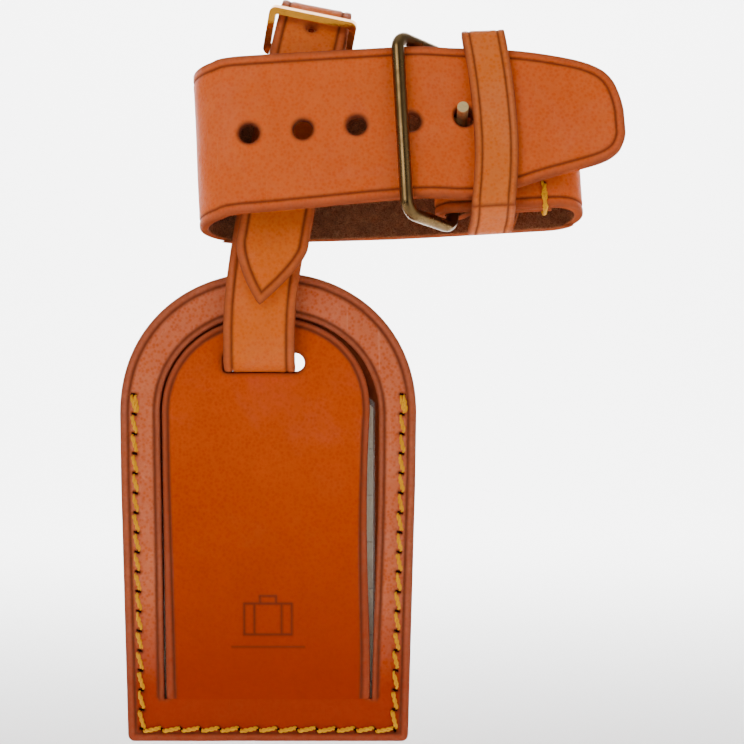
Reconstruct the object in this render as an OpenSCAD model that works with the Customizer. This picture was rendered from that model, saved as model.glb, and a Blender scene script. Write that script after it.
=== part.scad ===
// Leather luggage tag hung by a buckled strap from a buckled handle wrap.
// Origin: centre of the loop that goes round the luggage handle. +Z is up, the front faces -Y.

/* [Tag] */
// Greatest width of the tag
tag_w = 70; // [50:0.5:90]
// Width of the tag at its bottom edge
tag_base_w = 66; // [46:0.5:88]
// Height of the arch above its springing line
arch_h = 33.5; // [20:0.5:45]
// Height of the springing line of the arch
arch_z = -62.7; // [-80:0.1:-50]
// Height of the bottom edge of the tag
tag_bottom = -139.9; // [-160:0.1:-120]
// Sideways place of the middle of the tag
tag_x = -28.3; // [-40:0.1:-10]
// Depth of the front face of the tag
front_y = 3.0; // [0:0.1:6]
// Thickness of the front leather
front_t = 1.9; // [1:0.1:3]
// Thickness of the back leather
back_t = 2.6; // [1.6:0.1:4]
// Corner radius at the bottom of the tag
corner_r = 1.5; // [1:0.1:6]

/* [Flap and window] */
// Half width of the flap at the springing line
flap_a = 25.1; // [18:0.1:28]
// Height of the flap's arch
flap_b = 22.9; // [15:0.1:30]
// Half width of the flap at its base
flap_base = 24.0; // [18:0.1:28]
// Height of the flap's hinge line
flap_z = -129.9; // [-135:0.1:-120]
// Width of the cut round the flap
slit = 0.45; // [0.3:0.05:1]
// Width of the slot that the strap goes through
slot_w = 19.65; // [18:0.1:24]
// Top of the strap slot
slot_top = -48.3; // [-49:0.1:-47]
// Bottom of the strap slot
slot_low = -53.0; // [-56:0.1:-52]
// Sideways place of the strap slot
slot_x = -29.525; // [-34:0.1:-26]
// Half width of the address card
card_a = 25.2; // [20:0.1:28]
// Top edge of the card
card_top = -58.9; // [-62:0.1:-57]
// Bottom edge of the card
card_low = -133; // [-136:0.1:-120]
// Depth of the recess behind the flap
recess_d = 0.8; // [0.7:0.05:1.2]
// Height of the top of the recess
recess_top = -54.6; // [-56:0.1:-54]

/* [Stitching] */
// Radius of the sewing thread
thread_r = 0.42; // [0.2:0.01:0.6]
// Radius of a stitch hole
stitch_hole_r = 0.5; // [0.3:0.01:0.8]
// Stitches along each side
side_stitches = 17; // [10:1:24]
// Stitches along the bottom
bottom_stitches = 13; // [8:1:20]
// Distance of a side seam from the edge
seam_in = 3.4; // [2:0.1:6]
// Height of the bottom seam above the edge
seam_up = 2.8; // [2:0.1:6]
// Height of the first side stitch
seam_top = -58.1; // [-64:0.1:-55]

/* [Tag strap] */
// Width of the tag strap
strap_w = 16.8; // [12:0.1:20]
// Thickness of the tag strap
strap_t = 2.0; // [1.2:0.1:2.2]
// Sideways place of the strap in its slot
strap_x = -30.3; // [-32:0.1:-29]
// Depth of the middle of the strap's lower bend
turn_y = 4.5; // [4:0.1:5]
// Height of the middle of the strap's lower bend
turn_z = -47.5; // [-48:0.05:-46]
// Radius of the strap's lower bend
turn_r = 4.35; // [4.2:0.05:4.8]
// Lean of the strap at the buckle in degrees
lean = 11.5; // [8:0.5:14]

/* [Strap buckle] */
// Depth of the strap buckle's heel bar
heel_y = 8.0; // [7:0.1:9]
// Height of the strap buckle's heel bar
heel_z = 22.8; // [22:0.1:24]
// Radius of the heel bar
heel_r = 0.9; // [0.7:0.05:1.1]
// Distance from heel bar to front bar
small_l = 9.27; // [8:0.01:11]
// Outer width of the strap buckle
small_w = 21.0; // [20:0.1:23]
// Width of the frame's metal
small_bar = 1.6; // [1.2:0.1:2]
// Thickness of the frame
small_t = 2.2; // [1.4:0.1:3]

/* [Handle wrap] */
// Width of the handle wrap
wrap_w = 37; // [30:0.5:45]
// Thickness of the handle wrap
wrap_t = 2.2; // [1.6:0.1:3]
// Backward lean of the wrap in degrees
wrap_back = 15; // [0:1:25]
// Sideways slope of the wrap in degrees
wrap_slope = 3; // [0:0.5:8]
// Twist of the wrap at its left bend, in degrees
wrap_twist = 7; // [0:0.5:12]
// Radius of the size holes
hole_r = 2.25; // [1.5:0.05:3]
// Distance between the size holes
hole_pitch = 12.4; // [10:0.1:15]

/* [Wrap buckle] */
// Place of the heel bar along the wrap
heel_x = 14; // [13:0.1:18]
// Radius of the frame wire
wire_r = 1.5; // [1:0.1:2]
// Distance from heel bar to front bar
frame_l = 16.8; // [14:0.05:20]
// Width between the centres of the side arms
frame_w = 43.2; // [42:0.1:46]
// Corner radius of the wire
frame_r = 3.2; // [2:0.1:6]
// Angle of the frame round its heel bar
frame_angle = 230.6; // [200:0.1:270]
// Height of the middle of the frame
frame_z = 0.75; // [-2:0.05:2]
// Radius of the prong
prong_r = 1.3; // [0.8:0.1:1.6]

/* [Hidden] */
eps = 0.01;
prong_x = heel_x + 3.5;
prong_z = 4.1;
prong_tip = -12.6;
last_hole_x = heel_x + 3.7;
last_hole_z = 3.4;
seam_x = 35.4;
peg_dir = [-2.37, 5.5];
panel_y = front_y + front_t;
tag_back = panel_y + back_t;

// Points on an arc about (cx, cy)
function arc(cx, cy, r, a0, a1, n) =
    [for (i = [0:n]) let (a = a0 + (a1 - a0) * i / n) [cx + r * cos(a), cy + r * sin(a)]];

function unit(v) = v / norm(v);

// Direction of travel at point i of a path
function along(p, i) = unit(p[min(i + 1, len(p) - 1)] - p[max(i - 1, 0)]);

// A flat band of leather of thickness t that follows a path of points.
// side holds each point's sideways direction, high and low its two edges.
module band(path, side, high, low, t) {
    n = len(path);
    out = [for (i = [0:n - 1]) unit(cross(side[i], along(path, i))) * t / 2];
    points = [for (i = [0:n - 1]) each [path[i] + side[i] * high[i] + out[i],
        path[i] + side[i] * low[i] + out[i], path[i] + side[i] * low[i] - out[i],
        path[i] + side[i] * high[i] - out[i]]];
    walls = [for (i = [0:n - 2]) for (k = [0:3]) let (a = 4 * i + k, b = 4 * i + (k + 1) % 4)
        each [[a, b, b + 4], [a, b + 4, a + 4]]];
    polyhedron(points = points, faces = concat([[3, 2, 1, 0]], walls,
        [[4 * n - 4, 4 * n - 3, 4 * n - 2, 4 * n - 1]]), convexity = 10);
}

// A plate cut from a 2D shape in the XZ plane, from y to y + t
module plate(y, t) {
    translate([0, y + t, 0]) rotate([90, 0, 0]) linear_extrude(height = t, convexity = 8) children();
}

// A rod with round ends between two points
module rod(a, b, r) {
    d = b - a;
    turn = [0, acos(d[2] / norm(d)), atan2(d[1], d[0])];
    translate(a) rotate(turn) cylinder(h = norm(d), r = r, $fn = 24);
}

// A loop of thread that goes through the leather and back round its edge
module thread_loop(corners, r) {
    n = len(corners);
    for (i = [0:n - 1]) {
        rod(corners[i], corners[(i + 1) % n], r);
        translate(corners[i]) sphere(r = r, $fn = 24);
    }
}

// ---- The tag ----

// Upper half of a superellipse arch, from right to left
function arch(a, b, z, n) = [for (i = [0:n]) let (t = 180 * i / n)
    [sign(cos(t)) * a * pow(abs(cos(t)), 0.939), z + b * pow(sin(t), 0.939)]];

// Half width of the tag at a height
function tag_half(z) = z > -79 ? tag_w / 2 - 0.25 * (arch_z - z) / 16.3 :
    tag_w / 2 - 0.25 - (tag_w / 2 - 0.25 - tag_base_w / 2) * (-79 - z) / (-79 - tag_bottom);

module tag_outline() {
    right = [for (z = [tag_bottom + corner_r + 0.1, -120, -100, -79, -70]) [tag_half(z), z]];
    left = [for (z = [-70, -79, -100, -120, tag_bottom + corner_r + 0.1]) [-tag_half(z), z]];
    inset = tag_base_w / 2 - corner_r;
    translate([tag_x, 0]) polygon(concat(
        arc(inset, tag_bottom + corner_r, corner_r, -90, 0, 6), right,
        arch(tag_w / 2, arch_h, arch_z, 44), left,
        arc(-inset, tag_bottom + corner_r, corner_r, 180, 270, 6)));
}

module flap_outline(grow) {
    translate([tag_x, 0]) polygon(concat([[-flap_base - grow, flap_z], [flap_base + grow, flap_z]],
        arch(flap_a + grow, flap_b + grow, arch_z, 40)));
}

// The slot has a round right end and a squarer left end
module slot_outline() {
    r = (slot_top - slot_low) / 2;
    q = 1.1;
    left = slot_x - slot_w / 2;
    translate([slot_x + slot_w / 2 - r, slot_low + r]) circle(r = r, $fn = 32);
    for (z = [slot_low + q, slot_top - q]) translate([left + q, z]) circle(r = q, $fn = 32);
    translate([left + q, slot_low]) square([slot_w - q - r, 2 * r]);
    translate([left, slot_low + q]) square([2 * q, 2 * r - 2 * q]);
}

// Places of the stitch holes down one side, sign s
function side_hole(s, i) = let (z = seam_top - i * (seam_top - tag_bottom - seam_up) / side_stitches)
    [tag_x + s * (tag_half(z) - seam_in), z];

// Places of the stitch holes along the bottom
function bottom_hole(i) = let (a = side_hole(-1, side_stitches)[0], b = side_hole(1, side_stitches)[0])
    [a + (b - a) * (i + 0.5) / (bottom_stitches + 1), tag_bottom + seam_up];

side_left = [for (i = [0:side_stitches]) side_hole(-1, i)];
side_right = [for (i = [0:side_stitches]) side_hole(1, i)];
bottom_row = [for (i = [0:bottom_stitches]) bottom_hole(i)];

module stitch_holes() {
    for (p = concat(side_left, side_right, bottom_row))
        translate([p[0], tag_back + 1, p[1]]) rotate([90, 0, 0])
            cylinder(h = tag_back - front_y + 2, r = stitch_hole_r, $fn = 16);
}

// One seam: thread on both faces and through every hole
module seam(holes) {
    f = front_y - thread_r - 0.02;
    b = tag_back + thread_r + 0.02;
    for (p = holes) translate([p[0], b + 0.3, p[1]]) rotate([90, 0, 0])
        cylinder(h = b - f + 0.6, r = thread_r + 0.04, $fn = 24);
    for (i = [0:len(holes) - 2]) for (y = [f, b]) {
        step = 0.15 * unit(holes[i + 1] - holes[i]);
        rod([holes[i][0] + step[0], y, holes[i][1] + step[1]],
            [holes[i + 1][0] - step[0], y, holes[i + 1][1] - step[1]], thread_r);
    }
}

module tag_front_panel() {
    color("chocolate") difference() {
        plate(front_y, front_t) tag_outline();
        plate(front_y - 1, front_t + 2) flap_outline(slit);
        stitch_holes();
    }
}

module tag_flap() {
    color("sandybrown") difference() {
        plate(front_y, front_t) intersection() {
            flap_outline(0);
            translate([tag_x - 40, flap_z + 0.3]) square([80, 100]);
        }
        plate(front_y - 1, front_t + 2) slot_outline();
        translate([tag_x, front_y - 0.01, -115]) luggage_mark();
    }
}

// A small debossed suitcase with a short rule under it
module luggage_mark() {
    translate([0, 0.3, 0]) rotate([90, 0, 0]) linear_extrude(height = 0.6, convexity = 6) {
        difference() {
            translate([-6, 0]) square([12, 8]);
            translate([-5.3, 0.7]) square([10.6, 6.6]);
        }
        translate([-3.6, 0.7]) square([0.7, 6.6]);
        translate([2.9, 0.7]) square([0.7, 6.6]);
        difference() {
            translate([-2.2, 8]) square([4.4, 1.8]);
            translate([-1.5, 8]) square([3.0, 1.1]);
        }
        translate([-9, -3]) square([18, 0.5]);
    }
}

module tag_back_panel() {
    color("saddlebrown") difference() {
        plate(panel_y, back_t) tag_outline();
        plate(panel_y - 1, back_t + 2) slot_outline();
        translate([tag_x - card_a - 0.4, panel_y - 1, card_low - 0.4])
            cube([2 * card_a + 0.8, recess_d + 1, recess_top - card_low + 0.4]);
        stitch_holes();
    }
}

// A card with two clipped upper corners, half width a
module card_outline(a, clip) {
    translate([tag_x, 0]) polygon([[-a, card_low], [a, card_low], [a, card_top - clip],
        [a - clip, card_top], [-a + clip, card_top], [-a, card_top - clip]]);
}

module window_film() {
    color("lightcyan") plate(panel_y + 0.1, 0.22) card_outline(card_a, 1.2);
}

module address_card() {
    color("cornsilk") plate(panel_y + 0.36, 0.34) card_outline(card_a - 0.4, 2.4);
}

module tag_seam_left() {
    color("gold") seam(side_left);
}

module tag_seam_bottom() {
    color("gold") seam(bottom_row);
}

module tag_seam_right() {
    color("gold") seam(side_right);
}

// ---- The tag strap ----

// Lean of the strap at a height, in degrees
function lean_at(z) = z < -45 ? 0 : z < -30 ? 8 * (z + 45) / 15 :
    z < -5 ? 8 + (lean - 8) * (z + 30) / 25 : lean;

// Sideways place of the strap's middle at a height
function strap_mid(z) = z < -45 ? strap_x : z < -30 ? strap_x + 0.07 * (z + 45) * (z + 45) / 15 :
    z < -5 ? strap_x + 1.05 + 0.1405 * (z + 30) + 0.00126 * (z + 30) * (z + 30) :
    strap_x + 5.35 + 0.2035 * (z + 5);

// The strap's back ply hangs a little to the left of its front ply
function strap_at(y, z) = strap_mid(z) - 0.6 * max(0, min(1, (y - 5.5) / 4)) * max(0, min(1, (-10 - z) / 30));
// Its loose tip lies a little to the right
function tip_shift(z) = 1.2 * max(0, min(1, (8 - z) / 16)) * max(0, min(1, (z + 37.3) / 15));

// The strap's route seen from the side, as (y, z) points
fold = concat([[6.35, 10.5], [6.9, 13.6], [7.35, 16.5]], arc(heel_y, heel_z, heel_r + 0.2 + strap_t / 2,
    -25.3, 170.3, 18));
front_run = [[5.0, 17], [3.9, 10], [2.8, 5], [1.8, 0], [0.9, -6], [0.1, -13], [-0.55, -20], [-0.9, -26],
    [-1.0, -32], [-0.85, -38], [-0.4, -43]];
turn = arc(turn_y, turn_z, turn_r, 180, 360, 20);
back_run = [[9.6, -42], [10.3, -36], [10.8, -30], [11.2, -22], [12.4, -15], [14.0, -8], [16.2, 3],
    [18.3, 14], [19.0, 20], [18.9, 25]];
crown = concat(arc(13.4, 28.4, 5.6, 0, 120, 10), arc(15.3, 25.1, 9.4, 128, 156, 3));
tip_run = [[5.2, 26.9], [3.9, 24.1], [2.6, 21.0], [1.9, 16], [1.3, 10], [0.2, 5], [-0.8, 0], [-1.7, -6],
    [-2.5, -13], [-3.1, -20], [-3.22, -22.6], [-3.35, -25], [-3.38, -26.5], [-3.4, -28], [-3.4, -30], [-3.38, -32], [-3.36, -33.5],
    [-3.34, -34.8], [-3.32, -35.8], [-3.3, -36.6], [-3.29, -37.1]];
route = concat(fold, front_run, turn, back_run, crown, tip_run);

// Half width near the pointed end
function tip_half(z) = z > -23 ? 1 : max(0.02, 1 - pow((-23 - z) / 14.3, 1.5));

module tag_strap() {
    n = len(route);
    tail = n - len(tip_run);
    path = [for (i = [0:n - 1]) let (p = route[i]) [strap_at(p[0], p[1]) + (i < tail ? 0 : tip_shift(p[1])), p[0], p[1]]];
    side = [for (p = route) [cos(lean_at(p[1])), 0, -sin(lean_at(p[1]))]];
    half = [for (i = [0:n - 1]) strap_w / 2 * (i < tail ? 1 : tip_half(route[i][1]))];
    color("peru") difference() {
        band(path, side, half, -half, strap_t);
        at_heel() {
            translate([-1.7, -3.4, -3.6]) cube([3.4, 6.9, 7.2]);
            peg(1.15, 3.0, 9.0);
        }
        at_seam() for (s = [-1, 1]) translate([s * 6.2, -1.6, 0]) rotate([-90, 0, 0])
            cylinder(h = 6.6, r = 0.36, $fn = 16);
    }
}

// The heel bar's own place: X along the bar
module at_heel() {
    translate([strap_mid(heel_z), heel_y, heel_z]) rotate([0, lean, 0]) children();
}

// The place where the strap's folded end is sewn down
module at_seam() {
    translate([strap_mid(18), 5.15, 18]) rotate([0, lean, 0]) rotate([-8.8, 0, 0]) children();
}

// The strap buckle prong's straight part
module peg(r, start, stop) {
    rotate([atan2(-peg_dir[0], peg_dir[1]), 0, 0]) translate([0, 0, start])
        cylinder(h = stop - start, r = r, $fn = 32);
}

module strap_keeper() {
    color("burlywood") translate([strap_mid(13.3), 4.1, 13.3]) rotate([0, lean, 0]) rotate([-8.8, 0, 0])
        translate([0, 0, -2.75]) linear_extrude(height = 5.5, convexity = 4) difference() {
            rounded(-10.6, 10.6, -5.4, 5.5, 1.8);
            rounded(-9.1, 9.1, -4.0, 4.1, 0.6);
        }
}

// Points round the corner b between a and c
function fillet(a, b, c, r, n) = let (u = unit(a - b), v = unit(c - b), h = acos(u * v) / 2,
    m = b + unit(u + v) * (r / sin(h)), p = b + u * (r / tan(h)) - m, q = b + v * (r / tan(h)) - m,
    s = atan2(p[1], p[0]), turn = (atan2(q[1], q[0]) - s + 540) % 360 - 180)
    [for (i = [0:n]) m + r * [cos(s + turn * i / n), sin(s + turn * i / n)]];
function round_quad(p, r) = [for (i = [0:3]) each fillet(p[(i + 3) % 4], p[i], p[(i + 1) % 4], r, 10)];

// A rectangle with round corners between two opposite corners
module rounded(x0, x1, y0, y1, r) {
    for (x = [x0 + r, x1 - r]) for (y = [y0 + r, y1 - r]) translate([x, y]) circle(r = r, $fn = 32);
    translate([x0 + r, y0]) square([x1 - x0 - 2 * r, y1 - y0]);
    translate([x0, y0 + r]) square([x1 - x0, y1 - y0 - 2 * r]);
}

module strap_seam() {
    color("gold") at_seam() for (s = [-1, 1])
        thread_loop([[s * 6.2, -1.35, 0], [s * 8.95, -1.35, 0], [s * 8.95, 4.6, 0], [s * 6.2, 4.6, 0]], 0.28);
}

module strap_buckle_frame() {
    far = small_l + small_bar / 2;
    color("goldenrod") at_heel() rotate([23.5, 0, 0]) {
        difference() {
            rotate([90, 0, 0]) translate([0, 0, -small_t / 2]) linear_extrude(height = small_t, convexity = 4)
                difference() {
                    rounded(-small_w / 2, small_w / 2, -1.6, far, 1.5);
                    rounded(-small_w / 2 + small_bar, small_w / 2 - small_bar, 0, far - small_bar, 0.6);
                }
            translate([-small_w / 2 + small_bar, -3, -4]) cube([small_w - 2 * small_bar, 6, 6]);
        }
        translate([-small_w / 2 + 0.4, 0, 0]) rotate([0, 90, 0])
            cylinder(h = small_w - 0.8, r = heel_r, $fn = 48);
    }
}

module strap_buckle_prong() {
    color("gold") at_heel() {
        difference() {
            union() {
                translate([-1.2, 0, 0]) rotate([0, 90, 0]) cylinder(h = 2.4, r = 1.75, $fn = 48);
                peg(0.65, 1.2, 6.1);
            }
            translate([-2, 0, 0]) rotate([0, 90, 0]) cylinder(h = 4, r = heel_r + 0.05, $fn = 48);
        }
    }
}

// ---- The handle wrap ----

module wrap_place() {
    rotate([-wrap_back, -wrap_slope, 0]) children();
}

fold_r = wire_r + 0.3 + wrap_t / 2;
heel_turn = concat([[37, -0.5], [28, -0.5], [18, -0.5]], arc(heel_x, 0, fold_r, 38.9, 270, 20));
bends = concat([[22, -2.8], [30, -2.8]], arc(37, 3.9, 6.7, -90, 90, 18), [[20, 10.6], [0, 10.6], [-20, 10.6]],
    arc(-33.65, 0.35, 10.25, 90, 270, 20), [[-25, -9.9], [-15, -9.9], [-5, -9.9], [5, -9.9], [9, -9.5],
    [12, -8.7], [15, -7.8], [17.5, -7.3]]);
// Free end: place along, depth, upper edge, lower edge
end_shape = [[20, -7.15, 20.4, -16.4], [25, -7.15, 20.0, -15.2], [30, -7.15, 19.4, -14.0],
    [35, -7.0, 18.6, -12.6], [40, -6.7, 17.6, -11.3], [45, -6.3, 16.4, -10.0], [48.5, -6.0, 15.1, -9.0],
    [51.2, -5.85, 13.4, -7.8], [53.2, -5.7, 10.8, -6.2], [54.4, -5.65, 7.4, -4.2], [55.1, -5.6, 3.6, -1.9]];

// Middle of the wrap's width along its route
function wrap_mid(i) = let (n = len(heel_turn), m = len(bends))
    i < n + 6 ? 0.6 : i < n + 24 ? 0.6 - 1.6 * (i - n - 6) / 18 : i < n + 21 + 3 ? -1.0 :
    i < n + 24 + 21 ? -1.0 + 3.1 * (i - n - 24) / 21 : 2.1;

// The wrap stands more upright towards its left bend
function twist_at(x) = let (t = max(0, min(1, (8 - x) / 45))) wrap_twist * t * t * (3 - 2 * t);

module wrap_strap() {
    body = concat(heel_turn, bends);
    n = len(body);
    flat = concat(body, [for (p = end_shape) [p[0], p[1]]]);
    path = [for (p = flat) let (t = twist_at(p[0])) [p[0], -3 + (p[1] + 3) * cos(t), (p[1] + 3) * sin(t)]];
    side = [for (p = flat) let (t = twist_at(p[0])) [0, -sin(t), cos(t)]];
    high = concat([for (i = [0:n - 1]) wrap_mid(i) + wrap_w / 2], [for (p = end_shape) p[2]]);
    low = concat([for (i = [0:n - 1]) wrap_mid(i) - wrap_w / 2], [for (p = end_shape) p[3]]);
    color("sienna") wrap_place() difference() {
        band(path, side, high, low, wrap_t);
        for (i = [1:4]) translate([last_hole_x - i * hole_pitch, -6, 1.9]) rotate([90, 0, 0])
            cylinder(h = 8, r = hole_r, $fn = 48);
        translate([last_hole_x, -5, last_hole_z]) rotate([90, 0, 0]) cylinder(h = 8, r = hole_r, $fn = 48);
        translate([heel_x - 4.2, -4.4, prong_z - 2.2]) cube([11.2, 9, 4.4]);
        for (z = [13.4, -12.2]) translate([seam_x, 1.5, z]) rotate([90, 0, 0])
            cylinder(h = 6, r = stitch_hole_r, $fn = 24);
    }
}

// The keeper's route, as depth and height: up the back, over the front and under
keeper_corners = [[2.3, 23.9], [-9.5, 23.9], [-9.5, -18.0], [2.3, -23.05]];
keeper_route = let (c = keeper_corners) concat([for (z = [0.4:4:20.4]) [2.3, z]], fillet(c[3], c[0], c[1], 2.3, 8),
    fillet(c[0], c[1], c[2], 2.3, 8), [for (z = [19:-4:-13]) [-9.5, z]], fillet(c[1], c[2], c[3], 1.6, 8),
    fillet(c[2], c[3], c[0], 2.3, 8), [for (z = [-19:4:-3]) [2.3, z]], [[2.3, 0.3]]);
// Place of the keeper's middle along the wrap: it bows, and its foot is pulled to the left
function keeper_x(y, z) = let (f = (2.3 - y) / 11.8, low = max(0, min(1, (-14 - z) / 9)))
    f * (24.9 - (z > 0 ? 1.6 : 2.0) * pow(z / (z > 0 ? 23.9 : 20), 2)) +
    (1 - f) * (25 - (z > 0 ? 0.7 * pow(z / 23.9, 2) : 3.5 * low * low));

module wrap_keeper() {
    path = [for (p = keeper_route) [keeper_x(p[0], p[1]), p[0], p[1]]];
    color("burlywood") wrap_place() band(path, [for (p = path) [1, 0, 0]], [for (p = path) 5.05],
        [for (p = path) -5.05], 1.8);
}

// Stitches across the keeper's joint at the back
module wrap_keeper_seam() {
    color("gold") wrap_place() for (z = [-6, -2, 2, 6])
        rod([22.8, 3.2 + thread_r + 0.02, z - 0.8], [28.2, 3.2 + thread_r + 0.02, z + 0.8], thread_r);
}

module wrap_seam_upper() {
    color("gold") wrap_place() thread_loop([[seam_x, -4.36, 13.4], [seam_x, -4.36, 19.6],
        [seam_x, 1.08, 19.6], [seam_x, 1.08, 13.4]], thread_r);
}

module wrap_seam_lower() {
    color("gold") wrap_place() thread_loop([[seam_x, -4.36, -12.2], [seam_x, -4.36, -18.4],
        [seam_x, 1.08, -18.4], [seam_x, 1.08, -12.2]], thread_r);
}

module wrap_buckle_frame() {
    flat = frame_w / 2 - frame_r;
    color("olive") wrap_place() translate([heel_x, 0, frame_z]) rotate([0, 0, frame_angle]) {
        for (u = [0, frame_l]) translate([u, 0, -flat]) cylinder(h = 2 * flat, r = wire_r, $fn = 48);
        for (s = [-1, 1]) translate([frame_r, 0, s * frame_w / 2]) rotate([0, 90, 0])
            cylinder(h = frame_l - 2 * frame_r, r = wire_r, $fn = 48);
        for (s = [0, 1]) for (k = [0, 1]) mirror([0, 0, s]) translate([k * frame_l, 0, 0])
            mirror([k, 0, 0]) translate([frame_r, 0, flat]) rotate([90, 0, 0])
                rotate([0, 0, 90]) rotate_extrude(angle = 90, $fn = 48) translate([frame_r, 0])
                    circle(r = wire_r, $fn = 48);
    }
}

module wrap_buckle_prong() {
    color("darkgoldenrod") wrap_place() translate([heel_x, 0, prong_z]) {
        difference() {
            union() {
                translate([0, 0, -1.7]) cylinder(h = 3.4, r = 2.6, $fn = 48);
                translate([0, -2.5, -1.3]) cube([prong_x - heel_x, 1.9, 2.6]);
                translate([prong_x - heel_x, -0.6, 0]) rotate([90, 0, 0])
                    cylinder(h = -prong_tip - 0.6, r = prong_r, $fn = 48);
            }
            translate([0, 0, -3]) cylinder(h = 6, r = wire_r + 0.05, $fn = 48);
        }
    }
}

wrap_strap();
wrap_keeper();
wrap_keeper_seam();
wrap_seam_upper();
wrap_seam_lower();
wrap_buckle_frame();
wrap_buckle_prong();
tag_strap();
strap_keeper();
strap_seam();
strap_buckle_frame();
strap_buckle_prong();
tag_front_panel();
tag_flap();
tag_back_panel();
window_film();
address_card();
tag_seam_left();
tag_seam_bottom();
tag_seam_right();
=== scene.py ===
import math

import bpy
import numpy as np
from mathutils import Matrix, Vector
from mathutils.geometry import delaunay_2d_cdt
from mathutils.kdtree import KDTree


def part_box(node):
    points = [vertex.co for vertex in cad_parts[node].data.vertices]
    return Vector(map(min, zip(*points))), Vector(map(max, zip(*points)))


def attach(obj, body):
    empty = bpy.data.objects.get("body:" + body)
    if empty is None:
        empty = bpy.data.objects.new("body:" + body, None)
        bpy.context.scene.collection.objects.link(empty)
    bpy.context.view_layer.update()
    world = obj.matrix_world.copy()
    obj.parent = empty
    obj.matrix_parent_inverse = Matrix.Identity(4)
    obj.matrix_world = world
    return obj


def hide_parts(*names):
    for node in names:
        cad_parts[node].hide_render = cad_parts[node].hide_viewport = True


# The CAD frame. Everything below is in millimetres until a mesh is written.
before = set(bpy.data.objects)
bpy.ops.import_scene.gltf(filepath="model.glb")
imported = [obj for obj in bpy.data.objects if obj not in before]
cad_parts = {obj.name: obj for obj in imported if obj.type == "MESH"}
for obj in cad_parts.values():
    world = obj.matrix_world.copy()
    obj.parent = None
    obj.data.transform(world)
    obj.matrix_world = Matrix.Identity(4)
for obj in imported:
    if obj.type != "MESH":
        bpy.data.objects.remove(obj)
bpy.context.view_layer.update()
MM = 0.001
rng = np.random.default_rng(7)


def cad_box(node):
    """A node's lowest and highest corners, in mm."""
    low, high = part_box(node)
    return np.array(low) / MM, np.array(high) / MM


# ---- Sizes, from the frame ----
TAG_LOW, TAG_HIGH = cad_box("tag_front_panel")
FLAP_LOW, FLAP_HIGH = cad_box("tag_flap")
CARD_LOW, CARD_HIGH = cad_box("address_card")
FILM_LOW, FILM_HIGH = cad_box("window_film")
TAG_X = (TAG_LOW[0] + TAG_HIGH[0]) / 2
TAG_HALF = (TAG_HIGH[0] - TAG_LOW[0]) / 2
TAG_TOP, TAG_BOTTOM = TAG_HIGH[2], TAG_LOW[2]
FRONT_Y, PANEL_Y, BACK_Y = TAG_LOW[1], TAG_HIGH[1], cad_box("tag_back_panel")[1][1]
ARCH_Z = -62.7
BASE_HALF = 33.0
CORNER_R = 1.5
FLAP_A = (FLAP_HIGH[0] - FLAP_LOW[0]) / 2
FLAP_B = FLAP_HIGH[2] - ARCH_Z
FLAP_BASE = 24.0
FLAP_Z = -129.9
SLIT = 0.45
MARK_Z = -115.0
SLOT_X, SLOT_W, SLOT_TOP, SLOT_LOW = -29.525, 19.65, -48.3, -53.0
SEAM_IN, SEAM_UP, SEAM_TOP = 3.4, 2.8, -58.1
SIDE_STITCHES, BOTTOM_STITCHES = 17, 13
WRAP_W, WRAP_T, WRAP_TWIST = 37.0, 2.2, 7
STRAP_W, STRAP_T = 16.8, 2.0
HEEL_X, WIRE_R = 14.0, 1.5
SMALL_HEEL = np.array([8.0, 22.8])
LEAN = 11.5
SEAM_X = 35.4
TACK_HIGH, TACK_LOW, TACK_LONG = 13.4, -12.2, 6.2
HOLE_R, PRONG_HOLE_R, HOLE_GAP, PRONG_REACH = 2.25, 2.4, 12.4, 3.7


def rot_x(deg):
    return np.array(Matrix.Rotation(math.radians(deg), 3, "X"))


def rot_y(deg):
    return np.array(Matrix.Rotation(math.radians(deg), 3, "Y"))


WRAP_TURN = rot_y(-3) @ rot_x(-15)


def unit(v):
    v = np.asarray(v, float)
    return v / np.linalg.norm(v, axis=-1, keepdims=True)


def lengths(points):
    """Length along a line of points, at each of them."""
    return np.concatenate([[0], np.cumsum(np.linalg.norm(np.diff(points, axis=0), axis=1))])


def along_line(u, marks, values):
    """Values given at marks, at the lengths u."""
    return np.stack([np.interp(u, marks, values[:, k]) for k in range(values.shape[1])], 1)


def bell(x, width=1.0):
    """1 where x is 0, falling smoothly on both sides over about width."""
    return np.exp(-((x / width) ** 2))


def add_object(name, data):
    obj = bpy.data.objects.new(name, data)
    bpy.context.scene.collection.objects.link(obj)
    return obj


def add_mesh(name, verts, faces, material):
    """A smooth-shaded object made from vertices in mm."""
    mesh = bpy.data.meshes.new(name)
    mesh.from_pydata([tuple(v) for v in np.asarray(verts) * MM], [], faces)
    mesh.shade_smooth()
    mesh.materials.append(material)
    return add_object(name, mesh)


def ripple(x, y, scale, seed):
    """Smooth made-up unevenness between about -1 and 1, the same on each run."""
    g = np.random.default_rng(seed)
    total = np.zeros_like(x, dtype=float)
    for _ in range(7):
        a = g.uniform(0, 2 * math.pi)
        f = 2 * math.pi / (scale * g.uniform(0.6, 1.8))
        total += np.sin(f * (x * math.cos(a) + y * math.sin(a)) + g.uniform(0, 6.28))
    return total / 3.5


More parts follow.
